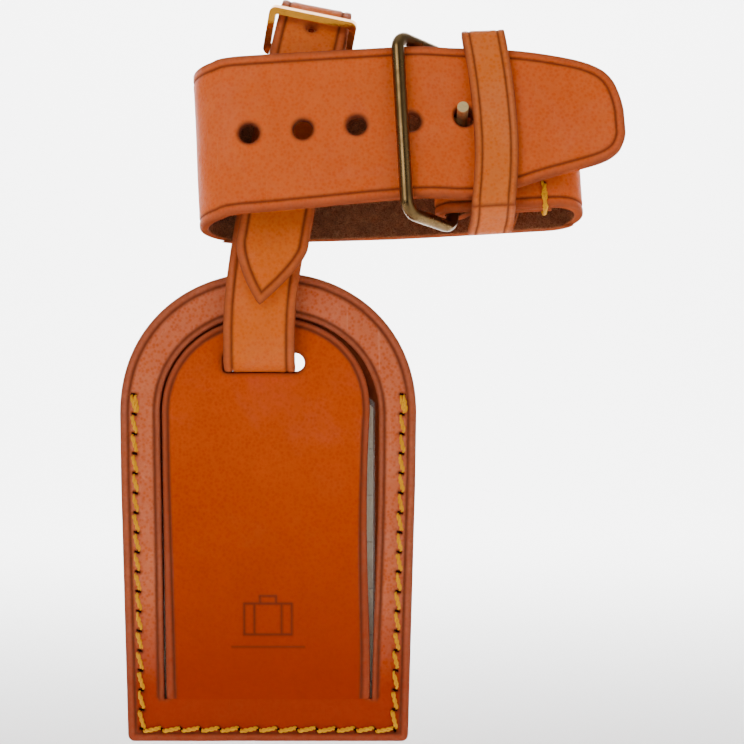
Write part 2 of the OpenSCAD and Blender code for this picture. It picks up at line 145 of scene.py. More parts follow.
# ---- Leather sheets ----
class Route:
    """A strap's path in space, measured along its length, with a sideways direction."""

    def __init__(self, points, side, soften=0.6, step=0.2):
        points, side = np.asarray(points, float), np.asarray(side, float)
        self.marks = lengths(points)
        self.length = self.marks[-1]
        self.u = np.linspace(0, self.length, int(self.length / step) + 1)
        self.path = self.soft(along_line(self.u, self.marks, points), soften / step)
        self.side = unit(self.soft(along_line(self.u, self.marks, side), 3 * soften / step))
        run = unit(np.gradient(self.path, axis=0))
        self.out = -unit(np.cross(self.side, run))

    @staticmethod
    def soft(values, sigma):
        """Gaussian smoothing that keeps the ends where they are."""
        reach = int(3 * sigma) + 1
        k = np.exp(-0.5 * (np.arange(-reach, reach + 1) / sigma) ** 2)
        k /= k.sum()
        before = values[0] + (values[0] - values[1]) * np.arange(reach, 0, -1)[:, None]
        after = values[-1] + (values[-1] - values[-2]) * np.arange(1, reach + 1)[:, None]
        full = np.vstack([before, values, after])
        return np.stack([np.convolve(full[:, c], k, "valid") for c in range(values.shape[1])], 1)

    def place(self, u, v, h):
        path, side, out = (along_line(u, self.u, a) for a in (self.path, self.side, self.out))
        return path + side * v[:, None] + out * h[:, None]


def flat_place(y_mid):
    """Places a flat sheet upright, its grain side towards the front."""
    def place(u, v, h):
        return np.stack([u, y_mid - h, v], 1)
    return place


def resample(loop, step):
    """Points at even spacing round a closed outline, its corners kept."""
    out = []
    for a, b in zip(loop, np.roll(loop, -1, axis=0)):
        n = max(1, int(round(np.linalg.norm(b - a) / step)))
        out.extend(a + (b - a) * i / n for i in range(n))
    return np.array(out)


def distance(points, segments):
    """Least distance from each point to a set of segments."""
    a, b = segments[:, 0], segments[:, 1]
    count = np.maximum(1, np.ceil(np.linalg.norm(b - a, axis=1) / 0.8)).astype(int)
    which = np.repeat(np.arange(len(a)), count)
    part = np.concatenate([np.arange(c) for c in count])
    d = ((b - a) / count[:, None])[which]
    a = a[which] + d * part[:, None]
    tree = KDTree(len(a))
    for i, (x, y) in enumerate(a + d / 2):
        tree.insert((x, y, 0), i)
    tree.balance()
    near = min(4, len(a))
    k = np.array([[hit[1] for hit in tree.find_n((x, y, 0), near)] for x, y in points])
    p = points[:, None]
    t = np.clip(((p - a[k]) * d[k]).sum(2) / np.maximum((d[k] ** 2).sum(2), 1e-12), 0, 1)
    return np.linalg.norm(p - a[k] - t[..., None] * d[k], axis=2).min(1)


def inside(points, loop):
    """True for each point that is inside a closed outline."""
    x, y = points[:, 0], points[:, 1]
    hit = np.zeros(len(points), bool)
    for (x0, y0), (x1, y1) in zip(loop, np.roll(loop, -1, axis=0)):
        if y0 == y1:
            continue
        cross = (y0 > y) != (y1 > y)
        hit ^= cross & (x < (x1 - x0) * (y - y0) / (y1 - y0) + x0)
    return hit


def chain(line):
    """The segments of an open line of points."""
    return np.stack([line[:-1], line[1:]], 1)


def segments_of(loop):
    return np.stack([loop, np.roll(loop, -1, axis=0)], 1)


class Sheet:
    """A cut piece of leather: an outline with holes, given rounded edges and a worked
    surface, then bent along its route. rows are the distances from its edges at which
    it has points, and join(p) marks where an edge is only a join."""

    def __init__(self, name, outline, holes, thick, rows, grid, step, edge, back_edge,
                 extra=None, join=None):
        self.name = name
        loops = [resample(np.asarray(outline, float), step)]
        loops += [resample(np.asarray(h, float), min(step, 0.45)) for h in holes]
        raw = np.vstack([segments_of(x) for x in loops])
        borders = raw if join is None else raw[~join(raw.mean(1))]
        edges, base = [], 0
        for loop in loops:
            n = len(loop)
            edges += [(base + i, base + (i + 1) % n) for i in range(n)]
            base += n

        def within(q):
            hit = inside(q, loops[0])
            for hole in loops[1:]:
                hit &= ~inside(q, hole)
            return hit

        fill = []
        for loop in loops:
            ahead, behind = np.roll(loop, -1, axis=0), np.roll(loop, 1, axis=0)
            t = unit(ahead - behind)
            normal = np.stack([-t[:, 1], t[:, 0]], 1)
            for d in rows:
                for s in (1, -1):
                    q = loop + s * normal * d
                    fill.append(np.column_stack([q, np.full(len(q), d)]))
        fill = np.vstack(fill)
        fill = fill[distance(fill[:, :2], raw) > fill[:, 2] - 0.02][:, :2]
        low, high = loops[0].min(0), loops[0].max(0)
        gx = np.arange(low[0] + grid[0] / 2, high[0], grid[0])
        gy = np.arange(low[1] + grid[1] / 2, high[1], grid[1])
        cells = np.stack(np.meshgrid(gx, gy), -1).reshape(-1, 2)
        cells[:, 1] += 0.25 * grid[1] * np.sin(cells[:, 0] * 3.1)
        loose = [fill, cells[distance(cells, raw) > max(rows) + 0.3]]
        if extra is not None:
            extra = np.asarray(extra, float)
            loose.append(extra[distance(extra, raw) > 0.1])
        loose = np.vstack(loose)
        loose = loose[within(loose)]
        loose = loose[np.unique(np.round(loose / 0.08).astype(int), axis=0, return_index=True)[1]]
        pts = [Vector(p) for p in np.vstack(loops + [loose])]
        verts, _, faces, *_ = delaunay_2d_cdt(pts, edges, [], 0, 1e-5)
        self.p = np.array([tuple(v) for v in verts])
        tri = np.array([f for f in faces if len(f) == 3])
        tri = tri[within(self.p[tri].mean(1))]
        a, b, d = self.p[tri[:, 0]], self.p[tri[:, 1]], self.p[tri[:, 2]]
        area = (b[:, 0] - a[:, 0]) * (d[:, 1] - a[:, 1]) - (b[:, 1] - a[:, 1]) * (d[:, 0] - a[:, 0])
        tri[area < 0] = tri[area < 0][:, ::-1]
        self.d = distance(self.p, borders)
        sliver = (np.abs(area) < 0.004) & (self.d[tri] < 0.01).all(axis=1)
        self.tri = tri[(np.abs(area) > 1e-7) & ~sliver]
        n = len(self.p)
        self.front = np.full(n, thick / 2) - self.round(self.d, edge)
        self.back = np.full(n, -thick / 2) + self.round(self.d, back_edge)
        self.crease_and_shade = np.zeros(n)
        self.burnish_and_shade = np.zeros(n)
        self.painted_hole_shade = np.zeros(n, bool)

    @staticmethod
    def round(d, r):
        inner = np.clip(r - d, 0, r)
        return r - np.sqrt(np.maximum(r * r - inner * inner, 0))

    def uneven(self, amount, scale, seed):
        self.front += amount * ripple(self.p[:, 0], self.p[:, 1], scale, seed)

    def groove(self, dist, at, width, depth, mask=1.0):
        """Presses a round groove where dist equals at, with a low ridge on each side, and darkens it: partly
        the creased leather's own darker line, partly painted shade.
        """
        x = (dist - at) / width
        pressed = bell(x) * mask
        ridge = (bell(x - 1.9) + bell(x + 1.9)) * mask
        self.front += -depth * pressed + 0.22 * depth * ridge
        self.crease_and_shade = np.maximum(self.crease_and_shade, 0.9 * pressed)

    def dent(self, centres, radius, depth):
        """Small round dents, such as stitch holes, painted near black as shade."""
        for c in centres:
            pressed = bell(np.linalg.norm(self.p - c, axis=1), radius)
            self.front -= depth * pressed
            self.crease_and_shade = np.maximum(self.crease_and_shade, np.minimum(1.6 * pressed, 1))

    def build(self, place, material, body, node, slot):
        """Makes the mesh: the grain side, the flesh side and a rounded wall between."""
        n = len(self.p)
        u, v = self.p[:, 0], self.p[:, 1]
        directed = np.vstack([self.tri[:, [0, 1]], self.tri[:, [1, 2]], self.tri[:, [2, 0]]])
        key = np.sort(directed, axis=1)
        _, first, count = np.unique(key, axis=0, return_index=True, return_counts=True)
        border = directed[first[count == 1]]
        rim = np.unique(border)
        where = np.full(n, -1)
        where[rim] = np.arange(len(rim))
        front = place(u, v, self.front)
        back = place(u, v, self.back)
        mid = place(u[rim], v[rim], (self.front[rim] + self.back[rim]) / 2)
        coords = np.vstack([front, back, mid])
        faces = [tuple(t) for t in self.tri]
        faces += [(n + c, n + b, n + a) for a, b, c in self.tri]
        for a, b in border:
            ma, mb = 2 * n + where[a], 2 * n + where[b]
            faces.append((b, a, ma, mb))
            faces.append((mb, ma, n + a, n + b))
        obj = add_mesh(self.name, coords, faces, material)
        edge = np.clip(1 - self.d / 1.2, 0, 1) ** 1.3
        masks = np.zeros((len(coords), 4), np.float32)
        masks[:n, 0] = np.clip(self.crease_and_shade, 0, 1)
        masks[:n, 1] = edge
        masks[n:2 * n, 1] = edge
        masks[n:2 * n, 2] = 1 - np.clip(1 - self.d / 0.35, 0, 1)
        masks[2 * n:, 1] = 1
        # Painted shade: the walls and the flesh side at the strap's holes are marked to be painted near
        # black.
        masks[2 * n:, 0] = self.painted_hole_shade[rim]
        masks[n:2 * n, 0] = self.painted_hole_shade
        masks[:n, 3] = np.clip(self.burnish_and_shade, 0, 1)
        layer = obj.data.attributes.new("work", "FLOAT_COLOR", "POINT")
        layer.data.foreach_set("color", masks.ravel())
        obj.data.update()
        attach(obj, body)
        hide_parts(node)


# ---- Materials ----
class Nodes:
    """A short way to write a node tree."""

    def __init__(self, name):
        self.mat = bpy.data.materials.new(name)
        self.mat.use_nodes = True
        self.tree = self.mat.node_tree
        self.tree.nodes.clear()
        out = self.add("ShaderNodeOutputMaterial")
        self.bsdf = self.add("ShaderNodeBsdfPrincipled")
        self.link(self.bsdf.outputs[0], out.inputs[0])
        self.coord = self.add("ShaderNodeTexCoord").outputs["Object"]

    def add(self, kind, **values):
        node = self.tree.nodes.new(kind)
        for key, value in values.items():
            setattr(node, key, value)
        return node

    def link(self, a, b):
        self.tree.links.new(a, b)

    def put(self, socket, value):
        if isinstance(value, bpy.types.NodeSocket):
            self.link(value, socket)
        else:
            socket.default_value = value

    def set(self, name, value):
        """Gives an input of the shader a value or a link."""
        self.put(self.bsdf.inputs[name], value)

    def scaled(self, sx, sy, sz):
        node = self.add("ShaderNodeMapping")
        node.inputs["Scale"].default_value = (sx, sy, sz)
        self.link(self.coord, node.inputs["Vector"])
        return node.outputs[0]

    def noise(self, size, detail=4, rough=0.55, vector=None, distortion=0.0):
        """Noise whose features are about size mm across."""
        node = self.add("ShaderNodeTexNoise")
        node.inputs["Scale"].default_value = 1000 / size
        node.inputs["Detail"].default_value = detail
        node.inputs["Roughness"].default_value = rough
        node.inputs["Distortion"].default_value = distortion
        self.link(vector or self.coord, node.inputs["Vector"])
        return node.outputs[0]

    def cells(self, size, feature="F1"):
        node = self.add("ShaderNodeTexVoronoi", feature=feature)
        node.inputs["Scale"].default_value = 1000 / size
        self.link(self.coord, node.inputs["Vector"])
        return node.outputs["Distance"]

    def ramp(self, value, start, end, low=0.0, high=1.0):
        """low up to start, high from end on, and a straight slope between."""
        node = self.add("ShaderNodeValToRGB")
        for element, at, level in zip(node.color_ramp.elements, (start, end), (low, high)):
            element.position = at
            element.color = (level, level, level, 1)
        self.link(value, node.inputs[0])
        return node.outputs[0]

    def math(self, op, a, b=0.0, clamp=False):
        node = self.add("ShaderNodeMath", operation=op, use_clamp=clamp)
        self.put(node.inputs[0], a)
        self.put(node.inputs[1], b)
        return node.outputs[0]

    def times(self, a, b, clamp=False):
        return self.math("MULTIPLY", a, b, clamp)

    def plus(self, a, b):
        return self.math("ADD", a, b)

    def most(self, a, b):
        return self.math("MAXIMUM", a, b)

    def mix(self, factor, a, b):
        node = self.add("ShaderNodeMix", data_type="RGBA")
        self.put(node.inputs["Factor"], factor)
        self.put(node.inputs["A"], a)
        self.put(node.inputs["B"], b)
        return node.outputs["Result"]

    def bump(self, height, depth, normal=None):
        """Bump whose full height is depth mm."""
        node = self.add("ShaderNodeBump")
        node.inputs["Strength"].default_value = 1.0
        node.inputs["Distance"].default_value = depth * MM
        self.link(height, node.inputs["Height"])
        if normal is not None:
            self.link(normal, node.inputs["Normal"])
        return node.outputs[0]

    def masks(self):
        node = self.add("ShaderNodeAttribute", attribute_name="work")
        parts = self.add("ShaderNodeSeparateColor")
        self.link(node.outputs["Color"], parts.inputs[0])
        return parts.outputs[0], parts.outputs[1], parts.outputs[2], node.outputs["Alpha"]


def tone(r, g, b):
    """A linear colour."""
    return (r, g, b, 1.0)


def leather(name, base, light, deep, flesh, rough=0.4, gleam=0.25, wear_and_sheen=0.5, fade=None):
    """Vegetable-tanned leather: faintly mottled and finely pored, browner in its worked borders,
    with a napped flesh side. Its creases are darkened, partly the creased leather's own darker
    line and partly painted shade; the deepest marks, such as stitch holes and hole walls, are
    painted near black as shade. fade is the span of heights, in mm, over which it darkens
    downwards, gleam the strength of its polished patches."""
    n = Nodes(name)
    crease_and_shade, border, back, burnish_and_shade = n.masks()
    blotch = n.ramp(n.noise(26, 3, 0.6, distortion=0.6), 0.32, 0.7)
    patch = n.ramp(n.noise(7.5, 5, 0.6), 0.35, 0.68)
    speck = n.ramp(n.noise(0.45, 3, 0.7), 0.36, 0.62)
    fine = n.ramp(n.cells(0.9), 0.12, 0.6)
    colour = n.mix(n.times(blotch, 0.34), base, deep)
    colour = n.mix(n.times(patch, 0.16), colour, light)
    colour = n.mix(n.times(speck, 0.22), colour, deep)
    colour = n.mix(n.times(fine, 0.3), colour, light)
    # Rubbed patches and fine scratches lighten the colour: real wear, and where the amount is high, as on the
    # rim, painted sheen.
    rub_and_sheen = n.ramp(n.noise(14, 6, 0.7, distortion=1.2), 0.58, 0.76)
    colour = n.mix(n.times(rub_and_sheen, wear_and_sheen * 0.9), colour, light)
    scratch = n.ramp(n.noise(1.3, 2, 0.5, n.scaled(1, 1, 0.07), 0.4), 0.68, 0.74)
    colour = n.mix(n.times(scratch, 0.35 * wear_and_sheen), colour, light)
    if fade:
        place = n.add("ShaderNodeSeparateXYZ")
        n.link(n.coord, place.inputs[0])
        drop = n.math("SUBTRACT", fade[0] * MM, place.outputs[2])
        drop = n.math("DIVIDE", drop, (fade[0] - fade[1]) * MM, clamp=True)
        colour = n.mix(n.times(drop, 0.9), colour, deep)
    streak = n.ramp(n.noise(1.6, 3, 0.6), 0.3, 0.7, 0.55)
    # Browner burnished borders; on the keeper's underside the same mask carries painted shade.
    colour = n.mix(n.times(burnish_and_shade, streak), colour, BAND)
    dark = n.mix(0.74, BAND, SHADE)
    # Painted shade: creases darken towards near black, partly the creased leather's own darker line; where
    # the mask is highest, in stitch holes, hole walls and round the strap's holes, they are painted near
    # black.
    colour = n.mix(n.times(crease_and_shade, 0.95, clamp=True), colour, dark)
    colour = n.mix(n.ramp(crease_and_shade, 0.91, 0.97), colour, tone(0.02, 0.006, 0.003))
    worn = n.times(border, n.plus(0.62, n.times(patch, 0.35)))
    colour = n.mix(worn, colour, n.mix(0.45, BAND, SHADE))
    # The flesh side's nap: painted shade in its hollows and in larger dark patches, with paler raised fibres.
    nap = n.noise(0.75, 6, 0.8, distortion=1.8)
    nap_big = n.noise(2.2, 4, 0.6)
    nap_shade = tone(0.03, 0.01, 0.005)
    shaded, raised = n.mix(0.45, flesh, nap_shade), n.mix(0.3, flesh, tone(0.6, 0.36, 0.2))
    suede = n.mix(n.ramp(nap, 0.42, 0.6), shaded, raised)
    suede = n.mix(n.times(n.ramp(nap_big, 0.35, 0.65), 0.3), suede, nap_shade)
    colour = n.mix(back, colour, suede)
    n.set("Base Color", colour)
    gloss = n.plus(rough, n.times(n.math("SUBTRACT", patch, 0.5), 0.12))
    gloss = n.plus(n.plus(gloss, n.times(rub_and_sheen, 0.12)), n.times(crease_and_shade, 0.12))
    gloss = n.most(gloss, n.times(back, 0.96))
    n.set("Roughness", gloss)
    sheen = n.ramp(n.noise(17, 4, 0.6, distortion=0.8), 0.48, 0.72)
    shine = n.plus(0.07, n.times(sheen, gleam))
    matt = n.most(n.most(back, border), crease_and_shade)
    if fade:
        matt = n.most(matt, n.times(drop, 0.85))
    shine = n.times(shine, n.math("SUBTRACT", 1.0, matt, clamp=True))
    n.set("Specular IOR Level", shine)
    grain = n.plus(n.times(n.noise(0.6, 4, 0.7), 0.8), n.times(n.cells(1.15, "SMOOTH_F1"), 0.7))
    grain = n.plus(grain, n.times(scratch, -0.3))
    grain = n.plus(n.times(grain, n.math("SUBTRACT", 1.0, back)), n.times(n.times(nap, 5.0), back))
    soft = n.bump(n.noise(5, 3, 0.6), 0.2)
    n.set("Normal", n.bump(grain, 0.17, soft))
    return n.mat


def metal(name, base, tarnish, rough, amount, spots=5.0):
    """Polished metal with a patchy tarnish and fine rubbing marks."""
    n = Nodes(name)
    mask = n.ramp(n.noise(spots, 6, 0.65, distortion=0.8), 0.5 - amount * 0.3, 0.72)
    fine = n.noise(0.4, 3, 0.6)
    colour = n.mix(n.times(mask, amount), base, tarnish)
    n.set("Base Color", colour)
    level = n.plus(rough, n.times(mask, 0.22 * amount + 0.05))
    level = n.plus(level, n.times(fine, 0.06))
    n.set("Roughness", level)
    n.set("Metallic", 1.0)
    lines = n.noise(0.25, 2, 0.5, n.scaled(1, 1, 0.12))
    n.set("Normal", n.bump(lines, 0.012))
    return n.mat


def thread_material():
    n = Nodes("waxed_thread")
    fibre = n.noise(0.22, 4, 0.7)
    shade = n.noise(3.5, 3, 0.6)
    colour = n.mix(n.ramp(fibre, 0.3, 0.7), tone(0.85, 0.3, 0.001), tone(1.0, 0.55, 0.004))
    colour = n.mix(n.times(n.ramp(shade, 0.4, 0.7), 0.35), colour, tone(0.8, 0.24, 0.002))
    n.set("Base Color", colour)
    n.set("Roughness", n.plus(0.5, n.times(fibre, 0.2)))
    n.set("Normal", n.bump(fibre, 0.07))
    n.set("Specular IOR Level", 0.12)
    return n.mat


def card_material():
    n = Nodes("card_stock")
    fibre = n.noise(0.7, 5, 0.7)
    mottled = n.noise(9, 3, 0.6)
    colour = n.mix(n.ramp(fibre, 0.35, 0.65), tone(0.86, 0.74, 0.5), tone(0.98, 0.9, 0.68))
    colour = n.mix(n.times(mottled, 0.3), colour, tone(0.62, 0.48, 0.28))
    place = n.add("ShaderNodeSeparateXYZ")
    n.link(n.coord, place.inputs[0])
    line = n.math("MODULO", n.plus(n.times(place.outputs[2], 1000.0), 1000.0), 11.0)
    ruled = n.math("LESS_THAN", n.math("ABSOLUTE", n.math("SUBTRACT", line, 5.0)), 0.16)
    colour = n.mix(n.times(ruled, 0.4), colour, tone(0.2, 0.17, 0.13))
    n.set("Base Color", colour)
    n.set("Roughness", n.plus(0.72, n.times(fibre, 0.12)))
    n.set("Normal", n.bump(fibre, 0.03))
    return n.mat


def film_material():
    n = Nodes("clear_film")
    haze = n.noise(3, 4, 0.6)
    scuff = n.noise(0.9, 3, 0.6, n.scaled(1, 1, 0.15))
    colour = n.mix(haze, tone(0.95, 0.93, 0.84), tone(0.8, 0.8, 0.74))
    n.set("Base Color", colour)
    n.set("Roughness", n.plus(0.1, n.times(haze, 0.16)))
    n.set("Normal", n.bump(scuff, 0.02))
    n.set("Alpha", n.ramp(scuff, 0.3, 0.8, 0.12, 0.24))
    return n.mat


BAND = tone(0.43, 0.1, 0.045)
SHADE = tone(0.03, 0.008, 0.004)
SUEDE = tone(0.5, 0.15, 0.062)
PLAIN_BACK = tone(0.58, 0.075, 0.004)
wrap_leather = leather("wrap_leather", tone(0.8, 0.108, 0.006), tone(0.88, 0.21, 0.05),
                       tone(0.6, 0.058, 0.001), SUEDE, rough=0.48, wear_and_sheen=0.35)
keeper_leather = leather("keeper_leather", tone(0.8, 0.15, 0.008), tone(0.88, 0.26, 0.07),
                         tone(0.62, 0.085, 0.002), SUEDE, rough=0.46, wear_and_sheen=0.4)
strap_leather = leather("strap_leather", tone(0.8, 0.13, 0.003), tone(0.88, 0.22, 0.04),
                        tone(0.56, 0.06, 0.001), SUEDE, rough=0.46, wear_and_sheen=0.25)
flap_leather = leather("flap_leather", tone(0.61, 0.063, 0.0008), tone(0.74, 0.11, 0.004),
                       tone(0.4, 0.026, 0.0001), SUEDE, rough=0.36, gleam=0.2, wear_and_sheen=0.18, fade=(-70, -125))
# The rim's pale pink tone and heavy rubbing are painted sheen on its upper sides, fading to deep orange
# below.
rim_leather = leather("rim_leather", tone(0.68, 0.12, 0.024), tone(0.86, 0.28, 0.15),
                      tone(0.4, 0.026, 0.0001), SUEDE, rough=0.38, gleam=0.3, wear_and_sheen=0.7, fade=(-106, -127))
back_leather = leather("back_leather", tone(0.62, 0.07, 0.002), tone(0.78, 0.15, 0.02),
                       tone(0.46, 0.04, 0.001), PLAIN_BACK, wear_and_sheen=0.3)
gold = metal("polished_gold", tone(0.66, 0.27, 0.022), tone(0.4, 0.15, 0.012), 0.06, 0.3)
brass = metal("aged_brass", tone(0.24, 0.145, 0.055), tone(0.07, 0.04, 0.016), 0.18, 0.6, 8.0)
# The prong's brass is far paler than the frame's: painted highlight, for the light its cut end catches.
prong_brass_painted_highlight = metal("prong_brass_painted_highlight", tone(0.9, 0.66, 0.32), tone(0.4, 0.26, 0.1), 0.42, 0.5, 3.0)
thread = thread_material()
card_stock = card_material()
film_clear = film_material()


# ---- Outlines ----
def arc(cx, cy, r, a0, a1, n):
    a = np.radians(np.linspace(a0, a1, n + 1))
    return [(cx + r * math.cos(t), cy + r * math.sin(t)) for t in a]


def arch(a, b, n=72, power=0.939):
    out = []
    for i in range(n + 1):
        t = math.pi * i / n
        c, s = math.cos(t), max(math.sin(t), 0.0)
        out.append((math.copysign(abs(c) ** power, c) * a, ARCH_Z + b * s ** power))
    return out


def tag_half(z):
    if z > -79:
        return TAG_HALF - 0.25 * (ARCH_Z - z) / 16.3
    return TAG_HALF - 0.25 - (TAG_HALF - 0.25 - BASE_HALF) * (-79 - z) / (-79 - TAG_BOTTOM)


def tag_outline():
    low = TAG_BOTTOM + CORNER_R
    heights = [low + 0.1, -130, -120, -110, -100, -89, -79, -70]
    right = [(tag_half(z), z) for z in heights]
    inset = BASE_HALF - CORNER_R
    pts = (arc(inset, low, CORNER_R, -90, 0, 6) + right + arch(TAG_HALF, TAG_TOP - ARCH_Z)
           + [(-x, z) for x, z in reversed(right)] + arc(-inset, low, CORNER_R, 180, 270, 6))
    return np.array(pts) + [TAG_X, 0]


def bump_at(z, middle, half):
    """1 at middle, falling smoothly to 0 half away."""
    x = np.clip(np.abs(np.asarray(z, float) - middle) / half, 0, 1)
    return (1 - x * x) ** 2


def flap_edge(grow, pull):
    """The flap's outline from its right foot over the arch to its left foot. pull draws
    the right side in, where the flap bulges."""
    pts = [(FLAP_BASE + grow + (FLAP_A - FLAP_BASE) * (z - FLAP_Z) / (ARCH_Z - FLAP_Z), z)
           for z in np.linspace(FLAP_Z, ARCH_Z - 4, 24)]
    pts += arch(FLAP_A + grow, FLAP_B + grow)
    pts += [(-x, z) for x, z in reversed(pts[:24])]
    pts = np.array(pts)
    right = pts[:, 0] > 0
    shape = bump_at(pts[:, 1], -80, 48) * np.clip(pts[:, 0] / 12, 0, 1)
    pts[right, 0] -= pull * shape[right]
    return pts + [TAG_X, 0]


def obround(x0, x1, y0, y1):
    r = (y1 - y0) / 2
    return np.array(arc(x1 - r, y0 + r, r, -90, 90, 14) + arc(x0 + r, y0 + r, r, 90, 270, 14))


def slot_loop(low=SLOT_LOW):
    """The strap's slot: round at its right end, squarer at its left."""
    r, q = (SLOT_TOP - low) / 2, 1.1
    left, right = SLOT_X - SLOT_W / 2 + 0.35, SLOT_X + SLOT_W / 2
    return np.array(arc(right - r, low + r, r, -90, 90, 14) + arc(left + q, SLOT_TOP - q, q, 90, 180, 5)
                    + arc(left + q, low + q, q, 180, 270, 5))


def circle(cx, cy, r, n=28):
    return np.array(arc(cx, cy, r, 0, 360, n)[:-1])


# ---- Stitching ----
def side_holes(s):
    z = SEAM_TOP - np.arange(SIDE_STITCHES + 1) * (SEAM_TOP - TAG_BOTTOM - SEAM_UP) / SIDE_STITCHES
    return np.array([(TAG_X + s * (tag_half(h) - SEAM_IN), h) for h in z])


def bottom_holes():
    a, b = side_holes(-1)[-1][0], side_holes(1)[-1][0]
    x = a + (b - a) * np.arange(BOTTOM_STITCHES + 1) / BOTTOM_STITCHES
    return np.array([(h, TAG_BOTTOM + SEAM_UP) for h in x])


LEFT, RIGHT, BOTTOM = side_holes(-1), side_holes(1), bottom_holes()
ALL_HOLES = np.vstack([LEFT, RIGHT, BOTTOM])


def across_line(path):
    """Two directions square to a path and to each other, at each of its points."""
    run = unit(np.gradient(path, axis=0))
    a = unit(np.cross(run, [0.31, 0.52, 0.79]))
    return a, np.cross(run, a)


def tube(path, radius, sides):
    """Vertices and faces of a closed tube along a path."""
    a, b = across_line(path)
    n = len(path)
    t = np.linspace(0, 2 * math.pi, sides, endpoint=False)
    ring = (np.cos(t)[None, :, None] * a[:, None] + np.sin(t)[None, :, None] * b[:, None])
    verts = (path[:, None] + ring * radius[:, None, None]).reshape(-1, 3)
    faces = []
    for i in range(n - 1):
        for k in range(sides):
            j = (k + 1) % sides
            faces.append((i * sides + k, i * sides + j, (i + 1) * sides + j, (i + 1) * sides + k))
    verts = np.vstack([verts, path[0], path[-1]])
    for k in range(sides):
        j = (k + 1) % sides
        faces.append((n * sides, j, k))
        faces.append((n * sides + 1, (n - 1) * sides + k, (n - 1) * sides + j))
    return verts, faces


def yarn(path, radius, twist, phase):
    """Two plies twisted round each other along a path: a list of tubes."""
    marks = lengths(path)
    u = np.linspace(0, marks[-1], max(10, int(marks[-1] / 0.2)))
    p = along_line(u, marks, path)
    a, b = across_line(p)
    out = []
    for k in range(2):
        t = 2 * math.pi * u / twist + math.pi * k + phase
        strand = p + (np.cos(t)[:, None] * a + np.sin(t)[:, None] * b) * radius * 0.45
        thin = 1 - 0.4 * np.exp(-u / 0.5) - 0.4 * np.exp(-(u[-1] - u) / 0.5)
        out.append(tube(strand, radius * 0.6 * thin, 7))
    return out


def join_tubes(name, parts, body, node):
    """One piece of thread made from a list of tubes."""
    verts, faces, base = [], [], 0
    for v, f in parts:
        verts.append(v)
        faces += [tuple(i + base for i in face) for face in f]
        base += len(v)
    obj = add_mesh(name, np.vstack(verts), faces, thread)
    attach(obj, body)
    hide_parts(node)


def stitch_path(a, b, y, out, slant):
    """One stitch from hole a to hole b on the face at y; out is -1 in front, 1 behind."""
    run = unit(b - a)
    across = np.array([run[1], -run[0]])
    t = np.linspace(0, 1, 15)
    line = a + (b - a) * (0.09 + 0.82 * t)[:, None] + across * (slant * (t - 0.5))[:, None]
    lift = 0.34 * np.minimum(1, np.minimum(t, 1 - t) * 6) ** 0.6
    lift -= 0.6 * (np.exp(-t * 15) + np.exp(-(1 - t) * 15))
    return np.stack([line[:, 0], y + out * lift, line[:, 1]], 1)


def seam(name, holes, slant, doubled_first):
    """Front and back stitches of one seam."""
    parts = []
    for i in range(len(holes) - 1):
        a, b = holes[i], holes[i + 1]
        wob = rng.uniform(-0.06, 0.06, 2)
        parts += yarn(stitch_path(a + wob, b + wob, FRONT_Y, -1, slant), 0.52, 2.6, rng.uniform(0, 6))
        parts += yarn(stitch_path(a, b, BACK_Y, 1, -slant), 0.43, 2.0, rng.uniform(0, 6))
        if i == 0 and doubled_first:
            shift = np.array([0.62, 0.1])
            parts += yarn(stitch_path(a + shift, b + shift, FRONT_Y, -1, slant * 0.6), 0.5, 2.6, 1.0)
    join_tubes(name, parts, "tag_body", name)


# ---- Tag ----
EDGE_ROWS = (0.1, 0.22, 0.38, 0.6, 0.9, 1.2, 1.42, 1.58, 1.7, 1.8, 1.9, 2.02, 2.18, 2.4, 2.8)
SLIT_ROWS = (0.1, 0.22, 0.38, 0.6, 0.95, 1.2, 1.4, 1.55, 1.7, 1.85, 2.0, 2.15, 2.35, 2.6, 3.0)


def rings(centres, radii, count):
    turns = np.linspace(0, 6.28, count, endpoint=False)
    return np.array([c + r * np.array([math.cos(t), math.sin(t)])
                     for c in centres for r in radii for t in (turns if r else turns[:1])])


def hole_rings():
    """Extra points for the mesh round each stitch hole."""
    return rings(ALL_HOLES, (0.0, 0.3, 0.6, 0.95, 1.4), 10)


def stitch_bed(sheet):
    """The dents of the stitch holes, the trough between them, and the puckers the
    pulled thread leaves on the inner side."""
    for shift in (0.46, 0.0, -0.46):
        sheet.dent(np.vstack([LEFT, RIGHT]) + [shift, -0.25 * shift], 0.44, 0.4)
    for shift in (0.34, 0.0, -0.34):
        sheet.dent(BOTTOM + [shift, -shift], 0.5, 0.4)
    lines = np.vstack([chain(h) for h in (LEFT, RIGHT, BOTTOM)])
    d = distance(sheet.p, lines)
    sheet.front -= 0.14 * bell(d, 0.8)
    for holes, inward in ((LEFT, (1, 0)), (RIGHT, (-1, 0)), (BOTTOM, (0, 1))):
        inward = np.array(inward, float)
        across = inward[::-1]
        for c in holes:
            q = sheet.p - (c + 1.5 * inward)
            x, y = q @ inward, q @ across
            sheet.front -= 0.12 * bell(x, 1.1) * bell(y, 0.5)
            for side in (-1.05, 1.05):
                sheet.front += 0.06 * bell(x) * bell(y - side, 0.45)


def worked_border(sheet, dist, width, amount):
    """Browner, burnished leather out to width from an edge."""
    sheet.burnish_and_shade = np.maximum(sheet.burnish_and_shade, amount / (1 + np.exp((dist - width) * 7)))


def above_foot(sheet):
    """1 above the flap's foot, 0 below it."""
    return 1 / (1 + np.exp(-(sheet.p[:, 1] - FLAP_Z + 0.1) * 6))


